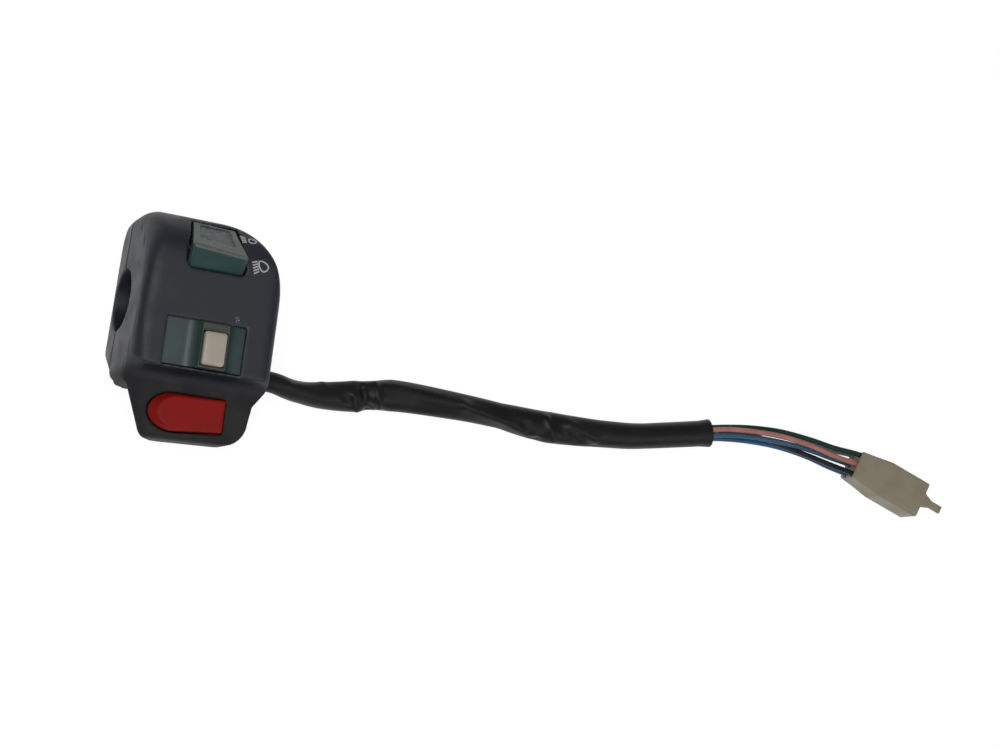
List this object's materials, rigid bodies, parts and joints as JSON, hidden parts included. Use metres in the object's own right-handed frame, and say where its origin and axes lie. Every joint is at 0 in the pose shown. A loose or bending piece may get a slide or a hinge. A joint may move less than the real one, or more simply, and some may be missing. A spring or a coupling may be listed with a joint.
{
  "type": "handlebar switch cluster",
  "caption": "Two-shell handlebar switch cluster with a dip rocker, a turn signal slider with a cancel cap, a horn button and a sleeved wire lead to a nylon connector.",
  "frame": {"origin": "centre of the handlebar bore at the middle of its length, on the parting plane of the shells", "axes": "+X along the handlebar towards the cable, +Y towards the dip rocker, +Z out of the switch face"},
  "size_m": [0.3276, 0.0792, 0.0447],
  "materials": {
    "shell_plastic": "satin moulded black plastic, fine grain, rubbed edges",
    "rocker_plastic": "glossy teal plastic, dusty on the pressed face",
    "slider_plastic": "semi gloss dark teal plastic",
    "cap_plastic": "semi gloss cream plastic",
    "horn_plastic": "semi gloss red plastic",
    "base_plastic": "matte phenolic",
    "carrier_plastic": "matte brown phenolic",
    "steel": "zinc plated",
    "spring_steel": "drawn spring wire",
    "brass": "bare brass",
    "grommet_rubber": "matte",
    "sleeve_pvc": "soft creased PVC with a dull shine",
    "wire_green": "PVC insulation",
    "wire_pink": "PVC insulation",
    "wire_light_blue": "PVC insulation",
    "wire_blue": "PVC insulation",
    "wire_black": "PVC insulation",
    "wire_grey": "PVC insulation",
    "connector_nylon": "natural translucent nylon"
  },
  "bodies": {
    "housing": {"front_shell": "shell_plastic", "rear_shell": "shell_plastic", "clamp_screws": "steel", "clamp_inserts": "brass", "dip_pivot_pin": "steel", "dip_base": "base_plastic", "dip_base_screws": "steel", "dip_terminals": "brass", "turn_base": "base_plastic", "turn_base_screws": "steel", "turn_terminals": "brass", "horn_spring": "spring_steel", "horn_base": "base_plastic", "horn_base_screws": "steel", "horn_terminals": "brass", "cable_grommet": "grommet_rubber", "harness_sleeve": "sleeve_pvc", "wire_green": "wire_green", "wire_pink": "wire_pink", "wire_light_blue": "wire_light_blue", "wire_blue": "wire_blue", "wire_black": "wire_black", "wire_grey": "wire_grey", "connector_housing": "connector_nylon", "connector_terminals": "brass"},
    "dip_rocker": {"dip_rocker": "rocker_plastic", "dip_plunger": "brass", "dip_plunger_spring": "spring_steel"},
    "dip_blade": {"dip_contact_blade": "brass"},
    "turn_slider": {"turn_slider": "slider_plastic", "turn_carrier": "carrier_plastic", "turn_contact_bridge": "brass", "turn_detent_ball": "steel", "turn_detent_spring": "spring_steel", "turn_cap_spring": "spring_steel"},
    "turn_cap": {"turn_cancel_cap": "cap_plastic"},
    "horn_button": {"horn_button": "horn_plastic", "horn_contact_plate": "brass"}
  },
  "joints": [
    {"name": "dip_rock", "type": "hinge", "parent": "housing", "child": "dip_rocker", "pos_m": [0.0011, 0.019, 0.0195], "axis": [1, 0, 0], "range_deg": [0, 20]},
    {"name": "dip_blade_tip", "type": "hinge", "parent": "housing", "child": "dip_blade", "pos_m": [0.0011, 0.01555, 0.01273], "axis": [1, 0, 0], "range_deg": [-10, 0]},
    {"name": "turn_slide", "type": "slide", "parent": "housing", "child": "turn_slider", "axis": [1, 0, 0], "range_m": [-0.0056, 0]},
    {"name": "cap_push", "type": "slide", "parent": "turn_slider", "child": "turn_cap", "axis": [0, 0, -1], "range_m": [0, 0.0015], "stiffness_N_per_m": 600, "springref_m": -0.001, "deforming": ["turn_cap_spring"]},
    {"name": "horn_push", "type": "slide", "parent": "housing", "child": "horn_button", "axis": [0, 0, -1], "range_m": [0, 0.0025], "stiffness_N_per_m": 800, "springref_m": -0.001, "deforming": ["horn_spring"]}
  ],
  "couplings": [
    {"joint": "dip_blade_tip", "follows": "dip_rock", "ratio": -0.5}
  ]
}
